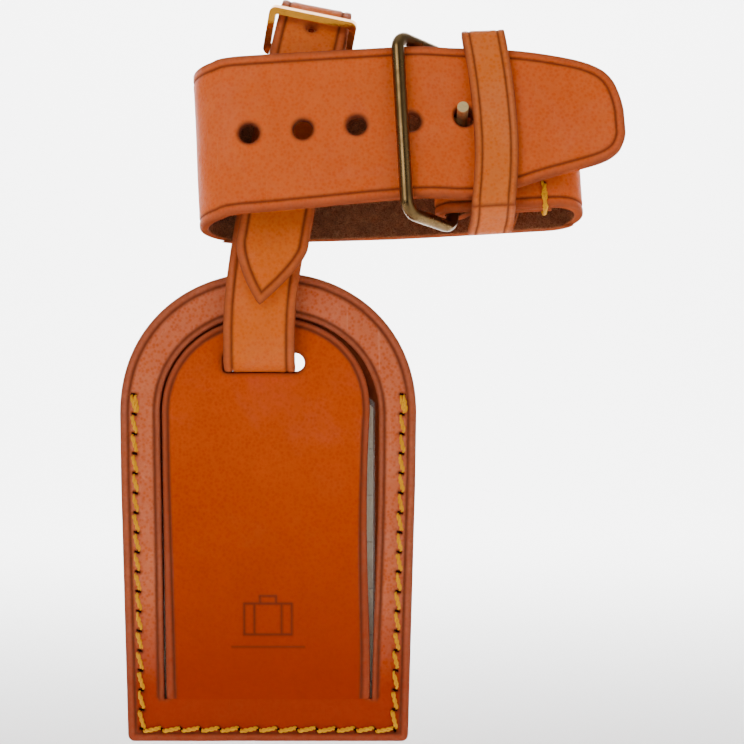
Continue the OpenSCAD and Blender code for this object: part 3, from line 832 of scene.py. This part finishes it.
def make_tag():
    slit_line = flap_edge(SLIT / 2, 0.35)
    opening = flap_edge(SLIT, -0.7)
    outline = tag_outline()

    def at_base(p):
        return (np.abs(p[:, 1] - FLAP_Z) < 0.02) & (np.abs(p[:, 0] - TAG_X) < FLAP_BASE + 2)

    panel = Sheet("front_panel_leather", outline, [opening], PANEL_Y - FRONT_Y - 0.02, EDGE_ROWS,
                  (2.0, 2.0), 0.7, 0.5, 0.2, hole_rings(), at_base)
    edge_d = distance(panel.p, segments_of(outline))
    panel.groove(edge_d, 1.95, 0.46, 0.25)
    worked_border(panel, edge_d, 2.2, 0.85)
    slit_d = distance(panel.p, chain(opening))
    above = above_foot(panel)
    panel.groove(slit_d, 1.35, 0.44, 0.27, above)
    worked_border(panel, slit_d, 1.7, 0.75 * above)
    stitch_bed(panel)
    panel.front += 0.3 * np.sin(np.pi * np.clip(edge_d / 10, 0, 1)) * above
    panel.uneven(0.07, 22, 3)
    bend = flat_place((FRONT_Y + PANEL_Y) / 2)
    panel.build(bend, rim_leather, "tag_body", "tag_front_panel", "tag_leather")

    loop = flap_edge(0, 1.5)
    slot_hole = slot_loop()
    mark = np.array([(x, z) for z in np.arange(-4, 11.1, 0.3) for x in np.arange(-10, 10.1, 0.3)])
    flap = Sheet("flap_leather", loop, [slot_hole], PANEL_Y - FRONT_Y - 0.02, SLIT_ROWS, (2.0, 2.0), 0.7,
                 0.5, 0.2, mark + [TAG_X, MARK_Z], at_base)
    rim_d = distance(flap.p, chain(loop))
    above = above_foot(flap)
    spread = 1.4 + 0.7 * np.clip((-78 - flap.p[:, 1]) / 52, 0, 1)
    flap.groove(rim_d, spread, 0.46, 0.27, above)
    worked_border(flap, rim_d, spread + 0.35, 0.75 * above)
    near_slot = distance(flap.p, segments_of(slot_hole))
    flap.front -= 0.12 * bell(near_slot, 1.2)
    press_mark(flap)
    flap.uneven(0.07, 22, 3)

    def bulge(u, v, h):
        p = bend(u, v, h)
        lift = bump_at(v, -80, 49) * np.clip((u - TAG_X + 10) / 34, 0, 1) ** 1.6
        p[:, 1] -= 1.1 * lift
        return p

    flap.build(bulge, flap_leather, "flap", "tag_flap", "tag_leather")

    back = Sheet("back_panel_leather", outline, [slot_loop(SLOT_LOW + 0.35)], BACK_Y - PANEL_Y - 0.04,
                 EDGE_ROWS[:6], (2.6, 2.6), 0.8, 0.25, 0.55, hole_rings())
    inx = np.minimum(back.p[:, 0] - CARD_LOW[0] + 0.8, CARD_HIGH[0] + 0.8 - back.p[:, 0])
    inz = np.minimum(back.p[:, 1] - CARD_LOW[2] + 0.4, -54.6 - back.p[:, 1])
    back.front -= 0.8 * (np.minimum(inx, inz) > 0)
    back.back += 0.15 * bell(distance(back.p, segments_of(outline)) - 1.8, 0.3)
    for c in ALL_HOLES:
        back.back += 0.4 * bell(np.linalg.norm(back.p - c, axis=1), 0.45)
    # Painted shade: the back panel's whole inner face is darkened to near black-brown, as shade inside the
    # tag.
    back.crease_and_shade[:] = 0.9
    back.build(flat_place((PANEL_Y + BACK_Y) / 2), back_leather, "tag_body", "tag_back_panel", "tag_leather")


def press_mark(sheet):
    """A small plain suitcase with a rule under it, pressed into the leather; its lines are darkened, partly
    the pressed leather's own darker line and partly painted shade.
    """
    p = sheet.p - [TAG_X, MARK_Z]

    def line(a, b, width=0.3):
        d = distance(p, np.array([[a, b]], float))
        pressed = 1 / (1 + np.exp((d - width) * 14))
        sheet.front[:] -= 0.13 * pressed
        sheet.crease_and_shade[:] = np.maximum(sheet.crease_and_shade, 0.88 * pressed)

    for a, b in (((-5.6, 0.3), (5.6, 0.3)), ((5.6, 0.3), (5.6, 7.6)), ((5.6, 7.6), (-5.6, 7.6)),
                 ((-5.6, 7.6), (-5.6, 0.3)), ((-3.2, 0.3), (-3.2, 7.6)), ((3.2, 0.3), (3.2, 7.6)),
                 ((-1.9, 7.6), (-1.9, 9.4)), ((-1.9, 9.4), (1.9, 9.4)), ((1.9, 9.4), (1.9, 7.6))):
        line(a, b)
    line((-8.5, -2.6), (8.5, -2.6), 0.22)


def card_sheet(name, low, high, clip, edge):
    """A flat card or film between two corners, its own corners clipped."""
    (x0, _, z0), (x1, _, z1) = low, high
    outline = [(x0, z0), (x1, z0), (x1, z1 - clip), (x1 - clip, z1), (x0 + clip, z1), (x0, z1 - clip)]
    return Sheet(name, outline, (), high[1] - low[1], (0.2, 0.6), (4, 4), 1.5, edge, edge)


def make_card():
    card = card_sheet("card_sheet", CARD_LOW, CARD_HIGH, 2.4, 0.1)
    card.uneven(0.03, 30, 5)
    card.build(flat_place((CARD_LOW[1] + CARD_HIGH[1]) / 2), card_stock, "card_pack", "address_card", "card")
    film = card_sheet("film_sheet", FILM_LOW, FILM_HIGH, 1.2, 0.08)
    film.build(flat_place((FILM_LOW[1] + FILM_HIGH[1]) / 2), film_clear, "card_pack", "window_film", "film")


# ---- Handle wrap ----
def path2(*parts):
    return np.vstack(parts).astype(float)


STRAP_ROWS = (0.1, 0.22, 0.4, 0.65, 1.0, 1.4, 1.7, 1.88, 2.0, 2.1, 2.22, 2.4, 2.7, 3.2)
FOLD_R = WIRE_R + 0.3 + WRAP_T / 2
HEEL_TURN = path2([(37, -0.5), (28, -0.5), (18, -0.5)], arc(HEEL_X, 0, FOLD_R, 38.9, 270, 20))
BENDS = path2([(22, -2.8), (30, -2.8)], arc(37, 3.9, 6.7, -90, 90, 18), [(20, 10.6), (0, 10.6), (-20, 10.6)],
              arc(-33.65, 0.35, 10.25, 90, 270, 20),
              [(-25, -9.9), (-15, -9.9), (-5, -9.9), (5, -9.9), (9, -9.5), (12, -8.7), (15, -7.8),
               (17.5, -7.3)])
FREE_END = np.array([[20, -7.15, 20.4, -16.4], [25, -7.15, 20.0, -15.2], [30, -7.15, 19.4, -14.0],
                     [35, -7.0, 18.6, -12.6], [40, -6.7, 17.6, -11.3], [45, -6.3, 16.4, -10.0],
                     [48.5, -6.0, 15.1, -9.0], [51.2, -5.85, 13.4, -7.8], [53.2, -5.7, 10.8, -6.2],
                     [54.4, -5.65, 7.4, -4.2], [55.1, -5.6, 3.6, -1.9]])


def smooth_line(pts, per=6):
    """A Catmull-Rom curve through points."""
    p = np.vstack([2 * pts[0] - pts[1], pts, 2 * pts[-1] - pts[-2]])
    out = []
    for i in range(1, len(p) - 2):
        a, b, c, d = p[i - 1:i + 3]
        for k in range(per):
            t = k / per
            out.append(0.5 * (2 * b + (c - a) * t + (2 * a - 5 * b + 4 * c - d) * t * t
                              + (3 * b - a - 3 * c + d) * t ** 3))
    return np.vstack([out, pts[-1:]])


def make_wrap():
    body = np.vstack([HEEL_TURN, BENDS])
    points = np.vstack([body, FREE_END[:, :2]])
    t = np.clip((8 - points[:, 0]) / 45, 0, 1)
    t = np.radians(WRAP_TWIST * t * t * (3 - 2 * t))
    lever = points[:, 1] + 3
    points = np.column_stack([points[:, 0], -3 + lever * np.cos(t), lever * np.sin(t)])
    side = np.column_stack([np.zeros(len(t)), -np.sin(t), np.cos(t)])
    route = Route(points @ WRAP_TURN.T, side @ WRAP_TURN.T, 0.55)
    m = route.marks
    n = len(HEEL_TURN)
    pick = np.append(np.arange(0, len(body), 4), len(body) - 1)
    mid = np.interp(pick, (n + 6, n + 24, n + 45), (0.6, -1.0, 2.1))

    def long_edge(offset, free_end):
        """The strap's edge: offset from its middle, then as the free end's shape has it."""
        u = np.append(m[pick], m[len(body):])
        return smooth_line(np.column_stack([u, np.append(mid + offset, free_end)]), 4)

    outline = np.vstack([long_edge(-WRAP_W / 2, FREE_END[:, 3]), long_edge(WRAP_W / 2, FREE_END[:, 2])[::-1]])
    outline[:, 0] = np.clip(outline[:, 0], 0, route.length - 0.05)

    def u_front(x):
        """Length along the wrap at a place on its front ply."""
        k = np.arange(len(points))
        use = k >= n + 44
        return np.interp(x, points[use, 0], m[use])

    main_u = m[n - 1]
    slot_hole = obround(m[1] + 7.3, main_u + 6.4, 4.1 - 2.2, 4.1 + 2.2)
    holes = [slot_hole, circle(u_front(HEEL_X + PRONG_REACH), 3.4, PRONG_HOLE_R)]
    holes += [circle(u_front(HEEL_X + PRONG_REACH - i * HOLE_GAP), 1.9, HOLE_R) for i in range(1, 5)]
    tack_u = [m[0] + 37 - SEAM_X, main_u + SEAM_X - HEEL_X]
    tacks = np.array([(u, z) for u in tack_u for z in (TACK_HIGH, TACK_LOW)])
    sheet = Sheet("wrap_leather_strap", outline, holes, WRAP_T, STRAP_ROWS, (0.8, 2.2), 0.6, 0.6, 0.45,
                  rings(tacks, (0.2, 0.45, 0.8, 1.2), 9))
    rim_d = distance(sheet.p, segments_of(resample(outline, 0.6)))
    sheet.groove(rim_d, 2.15, 0.4, 0.22)
    worked_border(sheet, rim_d, 1.4, 0.5)
    hole_d = distance(sheet.p, np.vstack([segments_of(h) for h in holes[1:]]))
    sheet.front += 0.1 * bell(hole_d - 0.9, 0.6) - 0.12 * bell(hole_d, 0.5)
    # Painted shade: the rims of the strap's holes and their walls are painted near black, as shade in the
    # holes.
    sheet.crease_and_shade = np.maximum(sheet.crease_and_shade, bell(hole_d, 0.45))
    sheet.painted_hole_shade = hole_d < 0.02
    sheet.dent(tacks, 0.5, 0.4)
    sheet.uneven(0.06, 18, 11)
    sheet.build(route.place, wrap_leather, "handle_wrap", "wrap_strap", "wrap_leather")


def tack(name, z_in, shift):
    """A doubled bar tack that wraps the wrap's edge; shift is 1 at the top, -1 below."""
    f, b = -4.36, 1.08
    z_out = z_in + shift * TACK_LONG
    middle = (z_in + z_out) / 2
    parts = []
    for k in range(2):
        dx = 0.42 * (k - 0.5)
        inner = z_in + shift * 0.5 * k
        path = np.array([(dx, -3.2, inner), (dx, f + 0.12, inner + 0.25 * shift),
                         (-1.6 * dx, f - 0.05, middle), (dx, f + 0.1, z_out - 0.4 * shift),
                         (0.6 * dx, -2.9, z_out + 0.1 * shift),
                         (0, -0.6, z_out + 0.1 * shift), (-dx, b - 0.2, z_out - 0.4 * shift),
                         (-dx, b, middle), (-dx, b - 0.1, inner)]) + [SEAM_X, 0, 0]
        parts += yarn(smooth_line(path, 5) @ WRAP_TURN.T, 0.42, 2.0, k)
    join_tubes(name, parts, "handle_wrap", name)


KEEPER_CORNERS = [(2.3, 23.9), (-9.5, 23.9), (-9.5, -18.0), (2.3, -23.05)]
SMALL_KEEPER_CORNERS = [(4.8, 9.85), (-4.7, 9.85), (-4.7, -9.85), (4.8, -9.85)]
SMALL_TURN = rot_y(LEAN) @ rot_x(-8.8)


def keeper_x(y, z):
    """Place of the keeper's middle along the wrap: it bows, and its foot is pulled left."""
    f = (2.3 - y) / 11.8
    low = np.clip((-14 - z) / 9, 0, 1)
    front = 24.9 - np.where(z > 0, 1.6 * (z / 23.9) ** 2, 2.0 * (z / 20) ** 2)
    back = 25 - np.where(z > 0, 0.7 * (z / 23.9) ** 2, 3.5 * low * low)
    return f * front + (1 - f) * back


def fillet(a, b, c, r, n=8):
    """Points round the corner b between a and c."""
    a, b, c = (np.asarray(q, float) for q in (a, b, c))
    u, v = unit(a - b), unit(c - b)
    h = math.acos(float(u @ v)) / 2
    m = b + unit(u + v) * r / math.sin(h)
    p, q = b + u * r / math.tan(h) - m, b + v * r / math.tan(h) - m
    s = math.atan2(p[1], p[0])
    turn = (math.atan2(q[1], q[0]) - s + 3 * math.pi) % (2 * math.pi) - math.pi
    return arc(m[0], m[1], r, math.degrees(s), math.degrees(s + turn), n)


def keeper_path(corners, radii):
    """Round a loop from the middle of its back, up, over the front and under. corners
    run from the back's top to the front's top, the front's foot and the back's foot."""
    k = len(corners)
    start = tuple(np.mean([corners[0], corners[-1]], axis=0))
    pts = [start]
    for i in range(k):
        pts += fillet(corners[i - 1], corners[i], corners[(i + 1) % k], radii[i])
    pts = np.array(pts + [start])
    marks = lengths(pts)
    return along_line(np.unique(np.concatenate([marks, np.arange(0, marks[-1], 1.0)])), marks, pts)


def keeper_sheet(name, route, width, thick, crease_and_shade, seed):
    """A closed leather loop made from one strip with its two ends butted together."""
    gap = 0.06
    outline = np.array([(gap, -width / 2), (route.length - gap, -width / 2),
                        (route.length - gap, width / 2), (gap, width / 2)])
    sheet = Sheet(name, outline, (), thick, STRAP_ROWS[:-1], (0.6, 1.2), 0.5, 0.45, 0.3)
    side_d = width / 2 - np.abs(sheet.p[:, 1])
    sheet.groove(side_d, crease_and_shade, 0.34, 0.18)
    worked_border(sheet, side_d, 0.9, 0.45)
    sheet.uneven(0.06, 14, seed)
    return sheet


def make_keepers():
    path = keeper_path(KEEPER_CORNERS, (2.3, 2.3, 1.6, 2.3))
    pts = np.column_stack([keeper_x(path[:, 0], path[:, 1]), path])
    route = Route(pts @ WRAP_TURN.T, np.tile(WRAP_TURN[:, 0], (len(pts), 1)), 0.4)
    sheet = keeper_sheet("keeper_leather_loop", route, 10.1, 1.78, 1.75, 5)
    foot = route.marks[np.argmin(np.linalg.norm(path - [-9.0, -17.5], axis=1))]
    heel = route.marks[np.argmin(np.linalg.norm(path - [2.3, -20.5], axis=1))]
    along = sheet.p[:, 0]
    # Painted shade: the keeper's underside, from its front foot back, is tinted browner as shade, and a dark
    # line is painted across the bend at the foot as shade, with no groove under it.
    sheet.burnish_and_shade = np.maximum(sheet.burnish_and_shade, 0.25 / (1 + np.exp(-(along - foot - 0.8) * 3)) * (along < heel))
    sheet.crease_and_shade = np.maximum(sheet.crease_and_shade, 0.85 * bell(along - foot - 0.9, 0.4))
    sheet.build(route.place, keeper_leather, "keeper_loop", "wrap_keeper", "wrap_leather")
    path = keeper_path(SMALL_KEEPER_CORNERS, (1.2,) * 4)
    pts = np.column_stack([-path[:, 1], path[:, 0], np.zeros(len(path))])
    origin = np.array([strap_mid(13.3), 4.1, 13.3])
    route = Route(pts @ SMALL_TURN.T + origin, np.tile(SMALL_TURN[:, 2], (len(pts), 1)), 0.3)
    sheet = keeper_sheet("strap_keeper_leather", route, 5.5, 1.4, 1.1, 6)
    sheet.build(route.place, strap_leather, "small_keeper", "strap_keeper", "strap_leather")


# ---- Tag strap ----
def lean_at(z):
    return np.interp(z, (-45, -30, -5), (0, 8, LEAN))


def strap_mid(z, x0=-30.3):
    if z < -45:
        return x0
    if z < -30:
        return x0 + 0.07 * (z + 45) ** 2 / 15
    if z < -5:
        return x0 + 1.05 + 0.1405 * (z + 30) + 0.00126 * (z + 30) ** 2
    return x0 + 5.35 + 0.2035 * (z + 5)


def strap_at(y, z):
    """The strap's back ply hangs a little to the left of its front ply."""
    return strap_mid(z) - 0.6 * np.clip((y - 5.5) / 4, 0, 1) * np.clip((-10 - z) / 30, 0, 1)


def tip_shift(z):
    """The loose tip lies a little to the right."""
    return 1.2 * np.clip((8 - z) / 16, 0, 1) * np.clip((z + 37.3) / 15, 0, 1)


STRAP_FOLD = path2([(6.35, 10.5), (6.9, 13.6), (7.35, 16.5)],
                   arc(SMALL_HEEL[0], SMALL_HEEL[1], 0.9 + 0.2 + STRAP_T / 2, -25.3, 170.3, 18))
STRAP_FRONT = path2([(5.0, 17), (3.9, 10), (2.8, 5), (1.8, 0), (0.9, -6), (0.1, -13), (-0.55, -20),
                     (-0.9, -26), (-1.0, -32), (-0.85, -38), (-0.4, -43)])
STRAP_TURN = path2(arc(4.5, -47.55, 4.37, 180, 360, 20))
STRAP_BACK = path2([(9.6, -42), (10.3, -36), (10.8, -30), (11.2, -22), (12.4, -15), (14.0, -8), (16.2, 3),
                    (18.3, 14), (19.0, 20), (18.9, 25)])
STRAP_CROWN = path2(arc(13.4, 28.4, 5.6, 0, 120, 10), arc(15.3, 25.1, 9.4, 128, 156, 3))
STRAP_TIP = path2([(5.2, 26.9), (3.9, 24.1), (2.6, 21.0), (1.9, 16), (1.3, 10), (0.2, 5), (-0.8, 0),
                   (-1.7, -6), (-2.5, -13), (-3.1, -20), (-3.22, -22.6), (-3.35, -25), (-3.38, -26.5),
                   (-3.4, -28), (-3.4, -30), (-3.38, -32), (-3.36, -33.5), (-3.34, -34.8),
                   (-3.32, -35.8), (-3.3, -36.6), (-3.29, -37.1)])


def make_strap():
    rows = np.vstack([STRAP_FOLD, STRAP_FRONT, STRAP_TURN, STRAP_BACK, STRAP_CROWN, STRAP_TIP])
    tail = len(rows) - len(STRAP_TIP)
    pts = np.array([(strap_at(y, z), y, z) for y, z in rows])
    pts[tail:, 0] += tip_shift(pts[tail:, 2])
    lean = np.radians(lean_at(rows[:, 1]))
    side = np.column_stack([np.cos(lean), np.zeros(len(lean)), -np.sin(lean)])
    route = Route(pts, side, 0.5)
    m = route.marks
    low = STRAP_TIP[:, 1] <= -20
    along = np.linspace(0, 1, 22)
    us = np.interp(23 + 14.3 * along, -STRAP_TIP[low, 1], m[tail:][low])
    us[-1] = route.length - 0.02
    half = STRAP_W / 2 * (1 - along ** 1.5)
    upper = np.column_stack([us[:-1], half[:-1]])
    outline = np.vstack([[(0, -STRAP_W / 2), (us[0], -STRAP_W / 2)], np.column_stack([us[1:-1], -half[1:-1]]),
                         [(us[-1], 0.0)], upper[::-1], [(0, STRAP_W / 2)]])
    slot_hole = obround(m[3] - 1.2, m[len(STRAP_FOLD) - 1] + 1.4, -1.6, 1.6)
    peg_hole = circle(m[tail] - 1.6, 0, 1.25, 20)
    sheet = Sheet("tag_strap_leather", outline, [slot_hole, peg_hole], STRAP_T, STRAP_ROWS, (0.7, 1.8), 0.5,
                  0.5, 0.35)
    rim_d = distance(sheet.p, segments_of(resample(outline, 0.5)))
    sheet.groove(rim_d, 2.0, 0.42, 0.22)
    worked_border(sheet, rim_d, 1.7, 0.6)
    sheet.uneven(0.05, 15, 21)
    sheet.build(route.place, strap_leather, "hanging_strap", "tag_strap", "strap_leather")


def make_strap_seam():
    origin = np.array([strap_mid(18), 5.15, 18])
    parts = []
    for s in (-1, 1):
        path = np.array([(6.2, 3.2, 0), (6.2, -1.35, 0), (7.6, -1.42, 0), (8.8, -1.1, 0), (8.98, 1.6, 0),
                         (8.8, 4.3, 0), (7.6, 4.62, 0), (6.2, 4.5, 0), (6.2, 0.5, 0)], float)
        path[:, 0] *= s
        parts += yarn(smooth_line(path, 5) @ SMALL_TURN.T + origin, 0.27, 1.4, s)
    join_tubes("strap_tack", parts, "hanging_strap", "strap_seam")


def make_keeper_seam():
    parts = []
    for z in (-6, -2, 2, 6):
        t = np.linspace(0, 1, 13)
        lift = 0.5 * np.minimum(1, np.minimum(t, 1 - t) * 6) - 0.35
        path = np.stack([22.8 + 5.4 * t, 3.2 + lift, z - 0.8 + 1.6 * t], 1)
        parts += yarn(path @ WRAP_TURN.T, 0.4, 2.0, z)
    join_tubes("keeper_stitches", parts, "keeper_loop", "wrap_keeper_seam")


# ---- Carried-over metal ----
def dress(node, material, bevel):
    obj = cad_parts[node]
    obj.data.materials.clear()
    obj.data.materials.append(material)
    obj.data.shade_smooth()
    edge = obj.modifiers.new("edge", "BEVEL")
    edge.width = bevel * MM
    edge.segments = 3
    edge.limit_method = "ANGLE"
    edge.angle_limit = math.radians(35)
    edge.harden_normals = True


# ---- Stage, camera and lights ----
def make_stage():
    """A plain pale floor that curves up into a wall behind."""
    floor_z, far, bend, wide, tall = TAG_BOTTOM - 14, 900.0, 500.0, 4000.0, 3500.0
    profile = [(-3000.0, floor_z)] + [(far + bend * math.sin(t), floor_z + bend * (1 - math.cos(t)))
                                      for t in np.linspace(0, math.pi / 2, 24)] + [(far + bend, tall)]
    verts, faces = [], []
    for y, z in profile:
        verts += [(-wide, y, z), (wide, y, z)]
    for i in range(len(profile) - 1):
        faces.append((2 * i, 2 * i + 1, 2 * i + 3, 2 * i + 2))
    n = Nodes("pale_backdrop")
    n.set("Base Color", tone(0.93, 0.93, 0.93))
    n.set("Roughness", 0.9)
    add_mesh("backdrop", verts, faces, n.mat)


def area_light(name, place, aim, size, watts):
    data = bpy.data.lights.new(name, "AREA")
    data.shape = "RECTANGLE"
    data.size, data.size_y = size[0] * MM, size[1] * MM
    data.energy = watts
    obj = add_object(name, data)
    obj.location = Vector(place) * MM
    obj.rotation_euler = (Vector(aim) - Vector(place)).to_track_quat("-Z", "Y").to_euler()


def make_lights():
    centre = (-10, 0, -50)
    area_light("key", (-420, -620, 420), centre, (520, 520), 3.15)
    area_light("fill", (560, -520, 60), centre, (600, 700), 1.65)
    area_light("top", (0, -60, 760), centre, (700, 500), 0.65)
    area_light("back_wall", (0, 520, 900), (0, 1500, 300), (1600, 600), 105.0)
    world = bpy.data.worlds.new("studio")
    world.use_nodes = True
    tree = world.node_tree
    view = tree.nodes.new("ShaderNodeTexCoord")
    split = tree.nodes.new("ShaderNodeSeparateXYZ")
    shade = tree.nodes.new("ShaderNodeMapRange")
    for value, name in ((-0.95, "From Min"), (-0.35, "From Max"), (0.02, "To Min"), (0.3, "To Max")):
        shade.inputs[name].default_value = value
    tree.links.new(view.outputs["Generated"], split.inputs[0])
    tree.links.new(split.outputs[1], shade.inputs["Value"])
    tree.links.new(shade.outputs[0], tree.nodes["Background"].inputs[1])
    tree.nodes["Background"].inputs[0].default_value = (1, 1, 1, 1)
    bpy.context.scene.world = world


def make_camera():
    data = bpy.data.cameras.new("camera")
    data.type = "PERSP"
    data.sensor_width = 36
    data.lens = 36 * 550 / 175.4
    data.clip_end = 20
    obj = add_object("camera", data)
    obj.location = Vector((-3.8, -547.0, -52.8)) * MM
    obj.rotation_euler = (math.pi / 2, 0, 0)
    bpy.context.scene.camera = obj


make_camera()
make_stage()
make_lights()
make_tag()
make_card()
seam("tag_seam_left", LEFT, -1.0, True)
seam("tag_seam_right", RIGHT, -1.0, True)
seam("tag_seam_bottom", BOTTOM, -0.7, False)
make_wrap()
tack("wrap_seam_lower", TACK_LOW, -1)
tack("wrap_seam_upper", TACK_HIGH, 1)
make_strap()
make_strap_seam()
make_keepers()
make_keeper_seam()
dress("wrap_buckle_frame", brass, 0.1)
dress("wrap_buckle_prong", prong_brass_painted_highlight, 0.3)
dress("strap_buckle_frame", gold, 0.5)
dress("strap_buckle_prong", gold, 0.12)
